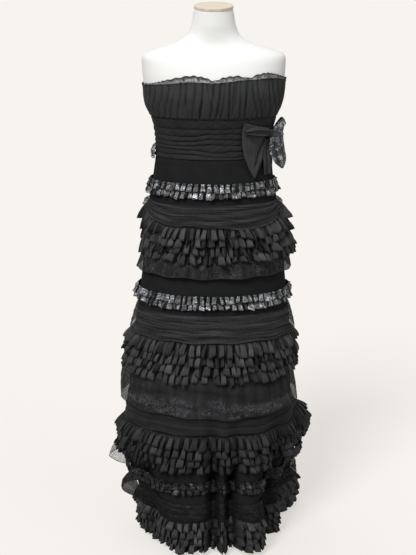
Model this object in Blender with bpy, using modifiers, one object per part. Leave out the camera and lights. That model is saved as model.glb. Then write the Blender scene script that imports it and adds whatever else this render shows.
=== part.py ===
"""Strapless evening gown on a limbless dress form with a pole and a round base.

The gown has a gathered bodice, a folded sash with a bow at the wearer's left, and an A-line
skirt that carries ruffles, lace frills and net flounces in level tiers. Each tier is worked
out from the skirt's own surface and moved out from it. Sizes are in metres, +Z is up, the
wearer faces -Y, and the origin is the middle of the base's underside. Angles are in degrees
round the gown, from the front centre towards the wearer's left at +X.
"""

import math
from collections import namedtuple

import bmesh
import bpy
from mathutils import Matrix, Vector

GOWN = "strapless_gown_on_dress_form"

# Cloth walls, and the gaps between pieces
CLOTH = 0.0014
NET = 0.0010
SEAM = 0.0003
EASE = 0.0008
TUCK = 0.0007
FOLD_ROOM = 0.20
WELD = 0.00001
SEAM_ANGLE = 0.11
FRILL_GAP = 0.0008

# Seam heights of the gown
UNDERBUST = 1.186
WAIST_SEAM = 1.084

# Columns of the grids, each a share of a full turn so that stacked walls have the same facets
FORM_COLUMNS = 24
SKIRT_COLUMNS = 48
SASH_COLUMNS = 24

# Sections by height. right and left are the wearer's, so -X and +X. square is 1 on an
# ellipse and less where the section is boxier.
Section = namedtuple("Section", "height right left front back square")

FORM = (
    Section(0.700, 0.118, 0.118, 0.080, 0.082, 1.00),
    Section(0.712, 0.142, 0.142, 0.096, 0.100, 1.00),
    Section(0.780, 0.162, 0.162, 0.106, 0.112, 1.00),
    Section(0.880, 0.168, 0.168, 0.109, 0.118, 1.00),
    Section(0.960, 0.160, 0.160, 0.103, 0.110, 1.00),
    Section(1.030, 0.152, 0.152, 0.096, 0.098, 1.00),
    Section(1.084, 0.149, 0.151, 0.092, 0.090, 1.00),
    Section(1.140, 0.150, 0.153, 0.092, 0.086, 1.00),
    Section(1.186, 0.162, 0.163, 0.100, 0.088, 1.00),
    Section(1.212, 0.173, 0.173, 0.109, 0.091, 0.98),
    Section(1.245, 0.178, 0.180, 0.114, 0.095, 0.96),
    Section(1.292, 0.184, 0.185, 0.103, 0.098, 0.93),
    Section(1.314, 0.185, 0.186, 0.094, 0.097, 0.89),
    Section(1.332, 0.185, 0.186, 0.084, 0.091, 0.84),
    Section(1.344, 0.180, 0.181, 0.074, 0.083, 0.82),
    Section(1.351, 0.160, 0.161, 0.066, 0.076, 0.84),
    Section(1.362, 0.122, 0.122, 0.059, 0.068, 0.90),
    Section(1.374, 0.090, 0.090, 0.055, 0.062, 0.95),
    Section(1.392, 0.067, 0.067, 0.055, 0.057, 1.00),
    Section(1.415, 0.057, 0.057, 0.057, 0.052, 1.00),
)

SKIRT = (
    Section(1.084, 0.152, 0.154, 0.0954, 0.0934, 1.00),
    Section(1.011, 0.163, 0.161, 0.108, 0.110, 1.00),
    Section(0.915, 0.180, 0.181, 0.120, 0.124, 1.00),
    Section(0.850, 0.187, 0.194, 0.126, 0.132, 1.00),
    Section(0.762, 0.194, 0.195, 0.132, 0.138, 1.00),
    Section(0.632, 0.213, 0.210, 0.141, 0.152, 1.00),
    Section(0.500, 0.228, 0.212, 0.152, 0.168, 1.00),
    Section(0.380, 0.240, 0.220, 0.164, 0.184, 1.00),
    Section(0.241, 0.250, 0.212, 0.174, 0.198, 1.00),
    Section(0.120, 0.210, 0.192, 0.180, 0.204, 1.00),
    Section(0.030, 0.190, 0.184, 0.182, 0.206, 1.00),
)

# The skirt's wall runs straight between these heights
LEVELS = (
    (0.030, 0.090, 0.160, 0.240, 0.265, 0.290, 0.317, 0.344)
    + (0.372, 0.400, 0.480, 0.600, 0.720, 0.840, 0.940, 1.020, 1.084)
)

# Hanging folds of the skirt. depth is out for a lobe and negative for a gap; a fold begins
# at top and has its whole depth from full down.
Fold = namedtuple("Fold", "angle spread depth top full")

FOLDS = (
    Fold(0.0, 7.5, -0.031, 0.46, 0.20),
    Fold(15.0, 7.5, -0.033, 0.42, 0.18),
    Fold(31.0, 18.0, 0.026, 0.36, 0.06),
    Fold(52.5, 15.0, -0.036, 0.42, 0.20),
    Fold(82.5, 22.5, -0.030, 0.30, 0.06),
    Fold(116.0, 26.0, 0.058, 0.42, 0.28),
    Fold(138.0, 12.0, -0.026, 0.44, 0.22),
    Fold(159.0, 15.0, -0.028, 0.40, 0.20),
    Fold(-159.0, 15.0, -0.026, 0.46, 0.24),
    Fold(-134.0, 15.0, -0.032, 0.42, 0.22),
    Fold(-108.0, 12.0, -0.024, 0.38, 0.20),
    Fold(-52.5, 15.0, -0.014, 0.38, 0.22),
    Fold(-26.0, 22.5, 0.018, 0.36, 0.08),
)

# The bodice's top edge, and the lace frill that stands on it
Edge = namedtuple("Edge", "angle height frill")

NECKLINE = (
    Edge(-180.0, 1.262, 0.010),
    Edge(-130.0, 1.262, 0.013),
    Edge(-90.0, 1.264, 0.008),
    Edge(-62.0, 1.270, 0.013),
    Edge(-45.0, 1.273, 0.010),
    Edge(-17.0, 1.281, 0.015),
    Edge(-6.0, 1.280, 0.013),
    Edge(0.0, 1.279, 0.006),
    Edge(7.0, 1.281, 0.012),
    Edge(17.0, 1.284, 0.012),
    Edge(26.0, 1.286, 0.005),
    Edge(34.0, 1.287, 0.011),
    Edge(47.0, 1.288, 0.013),
    Edge(70.0, 1.283, 0.006),
    Edge(90.0, 1.276, 0.010),
    Edge(130.0, 1.266, 0.009),
    Edge(180.0, 1.262, 0.010),
)
BODICE_ROWS = (UNDERBUST + SEAM, 1.212, 1.245)
GATHERS = 20
GATHER_DEPTH = 0.0024
SAMPLES = 4

# Folds across the sash, from its lower seam up. out is how far they stand off the form.
SashFold = namedtuple("SashFold", "height out")

SASH = (
    SashFold(WAIST_SEAM + 2 * SEAM, EASE),
    SashFold(1.099, 0.0052),
    SashFold(1.107, 0.0014),
    SashFold(1.121, 0.0054),
    SashFold(1.128, 0.0014),
    SashFold(1.142, 0.0056),
    SashFold(1.150, 0.0014),
    SashFold(1.164, 0.0048),
    SashFold(UNDERBUST - SEAM, EASE),
)
SASH_SLANT = 0.004
SASH_FACE = 0.0074

# Tiers of ruffles: the first row's top, and the bottom edge of every row
Tier = namedtuple("Tier", "name top bottoms flare")

RUFFLE_TIERS = (
    Tier("ruffle_1", 0.914, (0.882, 0.850, 0.819), 0.018),
    Tier("ruffle_2", 0.606, (0.572, 0.535, 0.494), 0.022),
    Tier("ruffle_3", 0.344, (0.313, 0.278, 0.237), 0.024),
    Tier("ruffle_4", 0.107, (0.076, 0.048, 0.014), 0.028),
)
ROW_OVERLAP = 0.012
RUFFLE_WAVES = 12
RUFFLE_WAVE = 0.006
RUFFLE_UNEVEN = 0.002
ROWS_LETTERS = "abc"

# Single strips. dip is how far the lower edge sinks at the front, beside the bow.
Strip = namedtuple("Strip", "name top bottom flare waves wave dip wall cloth")

STRIPS = (
    Strip("lace_frill_1", 1.022, 0.983, 0.008, 12, 0.0030, 0.000, CLOTH, "frill_lace"),
    Strip("net_flounce_1", 0.966, 0.914, 0.012, 0, 0.0, 0.007, NET, "net"),
    Strip("net_flounce_2", 0.830, 0.777, 0.012, 0, 0.0, 0.000, NET, "dark_lace"),
    Strip("lace_frill_2", 0.728, 0.690, 0.008, 12, 0.0030, 0.000, CLOTH, "frill_lace"),
    Strip("net_flounce_3", 0.674, 0.604, 0.012, 0, 0.0, 0.000, NET, "net"),
    Strip("net_flounce_4", 0.530, 0.401, 0.014, 0, 0.0, 0.006, NET, "net"),
    Strip("lined_band", 0.412, 0.3446, 0.0035, 0, 0.0, 0.000, CLOTH, "chiffon"),
    Strip("lace_frill_3", 0.212, 0.176, 0.008, 12, 0.0030, 0.000, CLOTH, "frill_lace"),
    Strip("net_flounce_5", 0.149, 0.104, 0.014, 0, 0.0, 0.000, NET, "dark_lace"),
)
DIP_ANGLE = 16.0
DIP_SPREAD = 45.0
CLOSE_FLARE = 0.005

# Tails of the bow from the tip up: the angles of both edges, and how far each stands out
Tail = namedtuple("Tail", "height start end near far")

BOW_TAIL = (
    Tail(1.033, 38.0, 39.0, 0.0090, 0.0090),
    Tail(1.056, 34.5, 42.5, 0.0100, 0.0090),
    Tail(1.082, 30.5, 47.5, 0.0125, 0.0095),
    Tail(1.105, 28.0, 52.0, 0.0140, 0.0085),
    Tail(1.127, 27.0, 56.5, 0.0140, 0.0079),
    Tail(1.150, 29.0, 58.0, 0.0110, 0.0078),
)
UNDER_TAIL = (
    Tail(1.037, 54.5, 73.0, 0.0030, 0.0030),
    Tail(1.080, 52.5, 73.5, 0.0080, 0.0080),
    Tail(1.128, 57.0, 68.0, SASH_FACE, SASH_FACE),
)
LACE_TAIL = (
    Tail(1.045, 86.0, 90.0, 0.0290, 0.0340),
    Tail(1.062, 74.0, 94.0, 0.0180, 0.0400),
    Tail(1.080, 70.5, 95.0, 0.0140, 0.0410),
    Tail(1.098, 67.0, 94.0, 0.0130, 0.0400),
    Tail(1.116, 64.5, 90.0, 0.0125, 0.0350),
    Tail(1.140, 66.2, 79.0, 0.0130, 0.0240),
)

# Loops of the bow from the knot out: the middle and half height of the band, and the two
# layers, which join at the far end
Loop = namedtuple("Loop", "angle middle half inner outer")

BOW_LOOP = (
    Loop(57.3, 1.145, 0.0035, 0.0122, 0.0142),
    Loop(52.0, 1.150, 0.0070, 0.0140, 0.0220),
    Loop(45.0, 1.155, 0.0110, 0.0145, 0.0270),
    Loop(37.0, 1.157, 0.0110, 0.0150, 0.0260),
    Loop(31.0, 1.158, 0.0090, 0.0165, 0.0200),
)
LACE_LOOP = (
    Loop(66.6, 1.144, 0.0035, 0.0122, 0.0142),
    Loop(72.0, 1.152, 0.0100, 0.0120, 0.0240),
    Loop(80.0, 1.156, 0.0150, 0.0140, 0.0310),
    Loop(88.0, 1.158, 0.0180, 0.0190, 0.0330),
)
KNOT_ANGLE = 61.8
KNOT_HEIGHT = 1.143
KNOT_HALF = Vector((0.0085, 0.0060, 0.0115))
KNOT_OUT = 0.0136

SIDE_TAB = (
    Tail(1.082, -96.0, -86.0, 0.0100, 0.0100),
    Tail(1.098, -98.0, -84.0, 0.0140, 0.0140),
    Tail(1.117, -95.0, -86.0, 0.0076, 0.0076),
)

# The form's neck and its cap, which tilt forwards, and the stand
NECK_TOP = 1.4566
NECK_RADIUS = 0.0495
NECK_AHEAD = 0.006
NECK_TILT = math.radians(8.2)
CAP_RADIUS = 0.0505
CAP_THICK = 0.0076
CAP_GROOVE = 0.0014
CAP_EDGE = 0.0010
CAP_STEPS = 24
POLE_RADIUS = 0.0125
POLE_SIDES = 16
BASE_RADIUS = 0.130
BASE_THICK = 0.008
BASE_EDGE = 0.002
BASE_STEPS = 32
BOTTOM = 0.700

# Colours, with roughness and metallic value
Finish = namedtuple("Finish", "color rough metal")

FINISHES = {
    "chiffon": Finish((0.020, 0.020, 0.022), 0.85, 0.0),
    "sash_chiffon": Finish((0.017, 0.017, 0.019), 0.75, 0.0),
    "skirt_cloth": Finish((0.012, 0.012, 0.013), 0.90, 0.0),
    "taffeta": Finish((0.030, 0.030, 0.033), 0.42, 0.0),
    "net": Finish((0.022, 0.022, 0.024), 0.80, 0.0),
    "dark_lace": Finish((0.026, 0.026, 0.028), 0.70, 0.0),
    "frill_lace": Finish((0.150, 0.150, 0.155), 0.50, 0.0),
    "bow_lace": Finish((0.090, 0.090, 0.095), 0.55, 0.0),
    "jersey": Finish((0.820, 0.820, 0.800), 0.65, 0.0),
    "beech": Finish((0.700, 0.600, 0.480), 0.45, 0.0),
    "steel": Finish((0.600, 0.600, 0.600), 0.35, 1.0),
    "base_paint": Finish((0.780, 0.780, 0.770), 0.40, 0.0),
}


def clear_scene():
    """Empties the file that the script runs in."""
    for obj in list(bpy.data.objects):
        bpy.data.objects.remove(obj, do_unlink=True)


def material(name):
    """The finish of this name, made once."""
    if name in bpy.data.materials:
        return bpy.data.materials[name]
    finish = FINISHES[name]
    made = bpy.data.materials.new(name)
    made.use_nodes = True
    shader = made.node_tree.nodes["Principled BSDF"]
    shader.inputs["Base Color"].default_value = (*finish.color, 1.0)
    shader.inputs["Roughness"].default_value = finish.rough
    shader.inputs["Metallic"].default_value = finish.metal
    return made


def add_object(name, bm, cloth):
    """Turns a bmesh into a named object in the gown's collection."""
    mesh = bpy.data.meshes.new(name)
    bm.to_mesh(mesh)
    bm.free()
    mesh.materials.append(material(cloth))
    mesh.shade_smooth()
    obj = bpy.data.objects.new(name, mesh)
    bpy.data.collections[GOWN].objects.link(obj)
    return obj


def mix(low, high, share):
    """A value this share of the way from low to high."""
    return low + (high - low) * share


def soft_step(share):
    """0 to 1 with soft ends."""
    share = min(1.0, max(0.0, share))
    return share * share * (3 - 2 * share)


def soft_bump(away):
    """1 at nothing away, and 0 from 1 away."""
    return 0.5 + 0.5 * math.cos(math.pi * min(1.0, abs(away)))


def turned(angle):
    """The same angle between -180 and 180."""
    return (angle + 180.0) % 360.0 - 180.0


def gap_and_share(marks, value):
    """The gap between rising marks that holds a value, and the value's share of it."""
    gap = 0
    while gap < len(marks) - 2 and value > marks[gap + 1]:
        gap += 1
    share = (value - marks[gap]) / (marks[gap + 1] - marks[gap])
    return gap, min(1.0, max(0.0, share))


def smooth_section(rows, height):
    """The section at this height, on smooth curves through the rows of a table."""
    rows = sorted(rows)
    gap, share = gap_and_share([row.height for row in rows], height)
    before, low, high, after = (
        rows[max(0, gap - 1)],
        rows[gap],
        rows[gap + 1],
        rows[min(len(rows) - 1, gap + 2)],
    )
    span = high.height - low.height
    values = []
    for a, b, c, d in zip(before, low, high, after):
        rise = (c - a) / (high.height - before.height) * span
        fall = (d - b) / (after.height - low.height) * span
        cubic = (2 * b - 2 * c + rise + fall) * share**3
        square = (3 * c - 3 * b - 2 * rise - fall) * share**2
        values.append(cubic + square + rise * share + b)
    return Section(*values)._replace(height=height)


def on_section(section, angle):
    """The point of a section at this angle."""
    turn = math.radians(angle)
    across, ahead = math.sin(turn), math.cos(turn)
    wide = section.left if across > 0 else section.right
    deep = section.front if ahead > 0 else section.back
    x = math.copysign(abs(across) ** section.square * wide, across)
    y = -math.copysign(abs(ahead) ** section.square * deep, ahead)
    return Vector((x, y, section.height))


def moved_out(point, out):
    """A point moved level away from the gown's axis."""
    away = Vector((point.x, point.y, 0.0)).normalized()
    return point + away * out


def drape(angle, height):
    """How far the hanging folds stand out from the skirt's section, or in."""
    total = 0.0
    for fold in FOLDS:
        bump = soft_bump(turned(angle - fold.angle) / fold.spread)
        total += fold.depth * bump * soft_step((fold.top - height) / (fold.top - fold.full))
    return total


def skirt(angle, height, out=0.0):
    """A point on the skirt's outer face, moved out. The wall is straight between levels."""
    gap, share = gap_and_share(LEVELS, height)
    ends = []
    for level in LEVELS[gap : gap + 2]:
        point = on_section(smooth_section(SKIRT, level), angle)
        ends.append(moved_out(point, drape(angle, level)))
    point = ends[0].lerp(ends[1], share)
    point.z = height
    return moved_out(point, out)


def fold_room(angle, height):
    """More room for a layer on the skirt where its folds are steep."""
    return TUCK + FOLD_ROOM * abs(drape(angle, height))


def torso(angle, height, out=0.0):
    """A point on the form, moved out. The form is straight between the rows of its table."""
    gap, share = gap_and_share([row.height for row in FORM], height)
    low, high = (on_section(row, angle) for row in FORM[gap : gap + 2])
    point = low.lerp(high, share)
    point.z = height
    return moved_out(point, out)


def under_bow(angle, height, out):
    """A point off the sash, or off the skirt below the waist seam."""
    if height > WAIST_SEAM:
        return torso(angle, height, out)
    return skirt(angle, height, out)


def neckline(angle):
    """Height of the bodice's top edge, and of the frill above it."""
    gap, share = gap_and_share([edge.angle for edge in NECKLINE], turned(angle))
    low, high = NECKLINE[gap : gap + 2]
    return mix(low.height, high.height, share), mix(low.frill, high.frill, share)


def wall(name, columns, rows, place, thick, cloth, inwards=False):
    """A piece of cloth: a grid laid out by place(u, v), then given its thickness."""
    bm = bmesh.new()
    bmesh.ops.create_grid(bm, x_segments=columns, y_segments=rows, size=0.5)
    for vert in bm.verts:
        vert.co = place(vert.co.x + 0.5, vert.co.y + 0.5)
    obj = add_object(name, bm, cloth)
    solidify = obj.modifiers.new("Wall", "SOLIDIFY")
    solidify.thickness = thick
    solidify.offset = -1.0 if inwards else 1.0
    return obj


def turned_solid(name, profile, steps, cloth, place=None):
    """A round piece from its profile, listed from the top of the axis down."""
    bm = bmesh.new()
    verts = [bm.verts.new((radius, 0.0, height)) for radius, height in profile]
    for first, second in zip(verts, verts[1:]):
        bm.edges.new((first, second))
    obj = add_object(name, bm, cloth)
    screw = obj.modifiers.new("Turn", "SCREW")
    screw.steps = steps
    screw.render_steps = steps
    screw.use_merge_vertices = True
    screw.merge_threshold = WELD
    if place:
        obj.matrix_world = place
    return obj


def make_torso():
    """The form's body and neck, closed by a level bottom and a tilted neck top."""
    bm = bmesh.new()
    bands = len(FORM)
    bmesh.ops.create_grid(bm, x_segments=FORM_COLUMNS, y_segments=bands, size=0.5)
    for vert in bm.verts:
        angle = 360.0 * (vert.co.x + 0.5)
        row = round((vert.co.y + 0.5) * bands)
        if row < bands:
            vert.co = on_section(FORM[row], angle)
        else:
            vert.co = neck_point(angle)
    bmesh.ops.remove_doubles(bm, verts=bm.verts, dist=WELD)
    open_edges = [edge for edge in bm.edges if edge.is_boundary]
    bmesh.ops.holes_fill(bm, edges=open_edges, sides=0)
    bmesh.ops.recalc_face_normals(bm, faces=bm.faces)
    add_object("form_torso", bm, "jersey")


def neck_point(angle):
    """A point of the neck's top edge, on the tilted plane under the cap."""
    turn = math.radians(angle)
    x = math.sin(turn) * NECK_RADIUS
    y = -math.cos(turn) * NECK_RADIUS
    return Vector((x, y * math.cos(NECK_TILT) - NECK_AHEAD, NECK_TOP + y * math.sin(NECK_TILT)))


def make_neck_cap():
    """The wooden cap, with a groove between its two layers."""
    middle = CAP_THICK / 2
    seat = Matrix.Translation((0.0, -NECK_AHEAD, NECK_TOP)) @ Matrix.Rotation(NECK_TILT, 4, "X")
    cap = (
        (0.0, CAP_THICK),
        (CAP_RADIUS - CAP_EDGE, CAP_THICK),
        (CAP_RADIUS, CAP_THICK - CAP_EDGE),
        (CAP_RADIUS, middle + CAP_GROOVE / 2),
        (CAP_RADIUS - CAP_GROOVE, middle),
        (CAP_RADIUS, middle - CAP_GROOVE / 2),
        (CAP_RADIUS - CAP_EDGE, 0.0),
        (0.0, 0.0),
    )
    on_neck = seat @ Matrix.Translation((0.0, 0.0, SEAM))
    turned_solid("form_neck_cap", cap, CAP_STEPS, "beech", on_neck)


def make_stand():
    """The pole under the form and the heavy round base."""
    low = BASE_THICK + SEAM
    high = BOTTOM - SEAM
    bm = bmesh.new()
    bmesh.ops.create_cone(
        bm,
        cap_ends=True,
        segments=POLE_SIDES,
        radius1=POLE_RADIUS,
        radius2=POLE_RADIUS,
        depth=high - low,
        matrix=Matrix.Translation((0.0, 0.0, (low + high) / 2)),
    )
    add_object("form_pole", bm, "steel")
    base = (
        (0.0, BASE_THICK),
        (BASE_RADIUS - BASE_EDGE, BASE_THICK),
        (BASE_RADIUS, BASE_THICK - BASE_EDGE),
        (BASE_RADIUS, 0.0),
        (0.0, 0.0),
    )
    turned_solid("form_base", base, BASE_STEPS, "base_paint")


def panels(stem, columns_front, make):
    """A front panel and two back panels, with seams at both sides and the centre back."""
    make(stem + "_front", -90.0, 90.0, columns_front)
    make(stem + "_back_left", 90.0, 180.0, columns_front // 2)
    make(stem + "_back_right", -180.0, -90.0, columns_front // 2)


def make_bodice():
    """The bodice: gathers run down the front, and the back is smooth."""

    def panel(name, start, end, columns):
        front = name.endswith("front")
        count = GATHERS * SAMPLES if front else columns

        def place(u, v):
            angle = mix(start + SEAM_ANGLE, end - SEAM_ANGLE, u)
            row = round(v * len(BODICE_ROWS))
            top = row == len(BODICE_ROWS)
            height = neckline(angle)[0] if top else BODICE_ROWS[row]
            fullness = 0.35 if row in (0, len(BODICE_ROWS)) else 1.0
            wave = 0.5 - 0.5 * math.cos(math.tau * GATHERS * u)
            depth = GATHER_DEPTH * fullness * wave if front else 0.0
            return torso(angle, height, EASE + depth)

        wall(name, count, len(BODICE_ROWS), place, CLOTH, "chiffon")

    panels("bodice", SASH_COLUMNS // 2, panel)


def make_neckline_frill():
    """The narrow lace frill that stands on the bodice's top edge."""

    def place(u, v):
        angle = mix(-180.0 + SEAM_ANGLE, 180.0 - SEAM_ANGLE, u)
        edge, frill = neckline(angle)
        height = edge + FRILL_GAP + frill * v
        wave = 0.0012 * v * (1 + math.cos(math.radians(17 * angle)))
        return torso(angle, height, EASE + wave)

    wall("neckline_frill", SKIRT_COLUMNS, 1, place, NET, "frill_lace")


def make_sash():
    """The sash: soft folds that rise a little towards the bow."""

    def panel(name, start, end, columns):
        def place(u, v):
            angle = mix(start + SEAM_ANGLE, end - SEAM_ANGLE, u)
            row = round(v * (len(SASH) - 1))
            inside = 0 < row < len(SASH) - 1
            slant = SASH_SLANT * math.sin(math.radians(angle)) if inside else 0.0
            return torso(angle, SASH[row].height + slant, SASH[row].out)

        wall(name, columns, len(SASH) - 1, place, CLOTH, "sash_chiffon")

    panels("sash", SASH_COLUMNS // 2, panel)


def make_skirt():
    """The A-line skirt under the tiers, with its hanging folds."""

    def panel(name, start, end, columns):
        def place(u, v):
            angle = mix(start + SEAM_ANGLE, end - SEAM_ANGLE, u)
            return skirt(angle, LEVELS[round(v * (len(LEVELS) - 1))])

        wall(name, columns, len(LEVELS) - 1, place, CLOTH, "skirt_cloth", inwards=True)

    panels("skirt", SKIRT_COLUMNS // 2, panel)


def strip_point(angle, top, bottom, flare, share_down):
    """A point of a strip, which is tucked in at its top and flares to its hem."""
    height = mix(top, bottom, share_down)
    return skirt(angle, height, fold_room(angle, height) + (flare - TUCK) * share_down)


def make_ruffles():
    """Rows of ruffles, each tucked under the row above."""
    for number, tier in enumerate(RUFFLE_TIERS):
        top = tier.top
        for row, bottom in enumerate(tier.bottoms):
            make_ruffle(tier, tier.name + ROWS_LETTERS[row], top, bottom, number * 3 + row)
            top = bottom + ROW_OVERLAP


def make_ruffle(tier, name, top, bottom, lead):
    """One row of ruffles. lead shifts its waves and its unevenness from the other rows'."""

    def place(u, v):
        angle = mix(-180.0 + SEAM_ANGLE, 180.0 - SEAM_ANGLE, u)
        turn = math.tau * u
        wave = RUFFLE_WAVE * math.cos(RUFFLE_WAVES * turn + lead * math.pi / 2)
        wave *= 0.8 + 0.2 * math.sin(3 * turn + lead)
        low = bottom + RUFFLE_UNEVEN * math.sin(5 * turn + 2 * lead)
        return strip_point(angle, top, low, tier.flare + wave, 1 - v)

    wall(name, SKIRT_COLUMNS, 1, place, CLOTH, "taffeta")


def make_strips():
    """Lace frills, net flounces and the lined band."""
    for strip in STRIPS:
        make_strip(strip)


def make_strip(strip):
    """One strip round the skirt."""

    crossed = [level for level in LEVELS if strip.bottom < level < strip.top]
    shares = [(strip.top - level) / (strip.top - strip.bottom) for level in crossed]
    rows = [1.0, *shares, 0.0] if strip.flare < CLOSE_FLARE else [1.0, 0.0]

    def place(u, v):
        angle = mix(-180.0 + SEAM_ANGLE, 180.0 - SEAM_ANGLE, u)
        dip = strip.dip * soft_bump((angle - DIP_ANGLE) / DIP_SPREAD)
        wave = strip.wave * math.cos(strip.waves * math.tau * u)
        share_down = rows[round(v * (len(rows) - 1))]
        return strip_point(angle, strip.top, strip.bottom - dip, strip.flare + wave, share_down)

    wall(strip.name, SKIRT_COLUMNS, len(rows) - 1, place, strip.wall, strip.cloth)


def make_tail(name, rows, columns, thick, cloth):
    """A hanging tail of the bow, from the rows of its table."""

    def place(u, v):
        row = rows[round(v * (len(rows) - 1))]
        out = mix(row.near, row.far, u)
        return under_bow(mix(row.start, row.end, u), row.height, out)

    wall(name, columns, len(rows) - 1, place, thick, cloth)


def make_loop(name, rows, thick, cloth):
    """A loop of the bow: a band that runs out from the knot and back in front of itself."""
    path = [(row, row.inner) for row in rows] + [(row, row.outer) for row in reversed(rows)]
    towards_front = rows[-1].angle < rows[0].angle

    def place(u, v):
        along = u if towards_front else 1 - u
        row, out = path[round(along * (len(path) - 1))]
        return under_bow(row.angle, row.middle + row.half * (2 * v - 1), out)

    wall(name, len(path) - 1, 2, place, thick, cloth)


def make_bow():
    """The bow at the wearer's left: chiffon and lace loops, their tails and the knot."""
    make_tail("bow_tail", BOW_TAIL, 6, CLOTH, "chiffon")
    make_tail("bow_under_tail", UNDER_TAIL, 3, CLOTH, "sash_chiffon")
    make_loop("bow_loop", BOW_LOOP, CLOTH, "chiffon")
    make_tail("lace_tail", LACE_TAIL, 4, NET, "bow_lace")
    make_loop("lace_loop", LACE_LOOP, NET, "bow_lace")
    make_tail("side_lace_tab", SIDE_TAB, 2, NET, "bow_lace")
    bm = bmesh.new()
    middle = torso(KNOT_ANGLE, KNOT_HEIGHT, KNOT_OUT)
    along = torso(KNOT_ANGLE + 1, KNOT_HEIGHT, KNOT_OUT) - torso(KNOT_ANGLE, KNOT_HEIGHT, KNOT_OUT)
    facing = Matrix.Rotation(math.atan2(along.y, along.x), 4, "Z")
    size = Matrix.Diagonal((*KNOT_HALF, 1.0))
    place = Matrix.Translation(middle) @ facing @ size
    bmesh.ops.create_uvsphere(bm, u_segments=10, v_segments=6, radius=1.0, matrix=place)
    add_object("bow_knot", bm, "chiffon")


def main():
    clear_scene()
    bpy.context.scene.collection.children.link(bpy.data.collections.new(GOWN))
    make_torso()
    make_neck_cap()
    make_stand()
    make_bodice()
    make_neckline_frill()
    make_sash()
    make_skirt()
    make_ruffles()
    make_strips()
    make_bow()


main()
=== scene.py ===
# %% [markdown]
# # A strapless evening gown on a dress form
# The gown is black: a gathered chiffon bodice, a folded sash with a bow, and a skirt in tiers of
# taffeta ruffles, lace frills and net. The frame holds a solid of every piece. This lesson
# covers those solids with cloth: each piece is a grid that a short function lays over the
# solid's own sections, so it always fits the one that it covers.

import math
from contextlib import contextmanager

import bmesh
import bpy
import numpy as np
from mathutils import Matrix, Vector


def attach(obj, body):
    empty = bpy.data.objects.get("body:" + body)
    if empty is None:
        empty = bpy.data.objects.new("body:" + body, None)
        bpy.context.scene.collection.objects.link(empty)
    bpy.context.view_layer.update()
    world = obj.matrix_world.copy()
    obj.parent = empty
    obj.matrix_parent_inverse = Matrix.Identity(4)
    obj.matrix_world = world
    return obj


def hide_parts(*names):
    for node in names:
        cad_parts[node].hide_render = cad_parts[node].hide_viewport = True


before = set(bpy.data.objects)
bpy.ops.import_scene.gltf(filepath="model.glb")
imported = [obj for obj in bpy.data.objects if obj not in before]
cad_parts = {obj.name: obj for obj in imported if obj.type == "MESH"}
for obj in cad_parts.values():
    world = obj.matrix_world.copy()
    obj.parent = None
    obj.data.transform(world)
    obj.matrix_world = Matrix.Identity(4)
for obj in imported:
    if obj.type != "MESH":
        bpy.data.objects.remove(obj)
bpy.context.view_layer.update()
print("solids:", len(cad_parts))

# %% [markdown]
# ## Sections of the form and of the skirt
# A dress form and an A-line skirt are stacks of level sections. Each is an ellipse with its
# own width to the wearer's right and left and its own depth to the front and back. A smooth
# curve through each column of the table gives the section at any height.

# %% Tables with named columns
def table(columns, *rows):
    """Columns of numbers by name, from the rows of a table."""
    return dict(zip(columns.split(), np.array(rows, float).T))


FORM = table(
    "height right left front back square",
    (0.700, 0.118, 0.118, 0.080, 0.082, 1.00),
    (0.712, 0.142, 0.142, 0.096, 0.100, 1.00),
    (0.780, 0.162, 0.162, 0.106, 0.112, 1.00),
    (0.880, 0.168, 0.168, 0.109, 0.118, 1.00),
    (0.960, 0.160, 0.160, 0.103, 0.110, 1.00),
    (1.030, 0.152, 0.152, 0.096, 0.098, 1.00),
    (1.084, 0.149, 0.151, 0.092, 0.090, 1.00),
    (1.140, 0.150, 0.153, 0.092, 0.086, 1.00),
    (1.186, 0.162, 0.163, 0.100, 0.088, 1.00),
    (1.212, 0.173, 0.173, 0.109, 0.091, 0.98),
    (1.245, 0.178, 0.180, 0.114, 0.095, 0.96),
    (1.292, 0.184, 0.185, 0.103, 0.098, 0.93),
    (1.314, 0.185, 0.186, 0.094, 0.097, 0.89),
    (1.332, 0.185, 0.186, 0.084, 0.091, 0.84),
    (1.344, 0.180, 0.181, 0.074, 0.083, 0.82),
    (1.351, 0.160, 0.161, 0.066, 0.076, 0.84),
    (1.362, 0.122, 0.122, 0.059, 0.068, 0.90),
    (1.374, 0.090, 0.090, 0.055, 0.062, 0.95),
    (1.392, 0.067, 0.067, 0.055, 0.057, 1.00),
    (1.415, 0.057, 0.057, 0.057, 0.052, 1.00),
)

SKIRT = table(
    "height right left front back",
    (0.030, 0.190, 0.184, 0.182, 0.206),
    (0.120, 0.210, 0.192, 0.180, 0.204),
    (0.241, 0.250, 0.212, 0.174, 0.198),
    (0.380, 0.240, 0.220, 0.164, 0.184),
    (0.500, 0.228, 0.212, 0.152, 0.168),
    (0.632, 0.213, 0.210, 0.141, 0.152),
    (0.762, 0.194, 0.195, 0.132, 0.138),
    (0.850, 0.187, 0.194, 0.126, 0.132),
    (0.915, 0.180, 0.181, 0.120, 0.124),
    (1.011, 0.163, 0.161, 0.108, 0.110),
    (1.084, 0.152, 0.154, 0.0954, 0.0934),
)
HEM = 0.030
WAIST_SEAM = 1.084
UNDERBUST = 1.186

# %% A smooth curve through a column, and the ring of a section
def smooth(marks, values, at):
    """A value on the smooth curve that passes through (marks, values)."""
    beyond = (np.pad(column, 1, "edge") for column in (values, marks))
    rise, gap = (column[2:] - column[:-2] for column in beyond)
    slopes = rise / gap
    i = np.clip(np.searchsorted(marks, at) - 1, 0, len(marks) - 2)
    span = marks[i + 1] - marks[i]
    s = np.clip((at - marks[i]) / span, 0, 1)
    start = (2 * s**3 - 3 * s**2 + 1) * values[i] + (s**3 - 2 * s**2 + s) * span * slopes[i]
    end = (3 * s**2 - 2 * s**3) * values[i + 1] + (s**3 - s**2) * span * slopes[i + 1]
    return start + end


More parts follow.
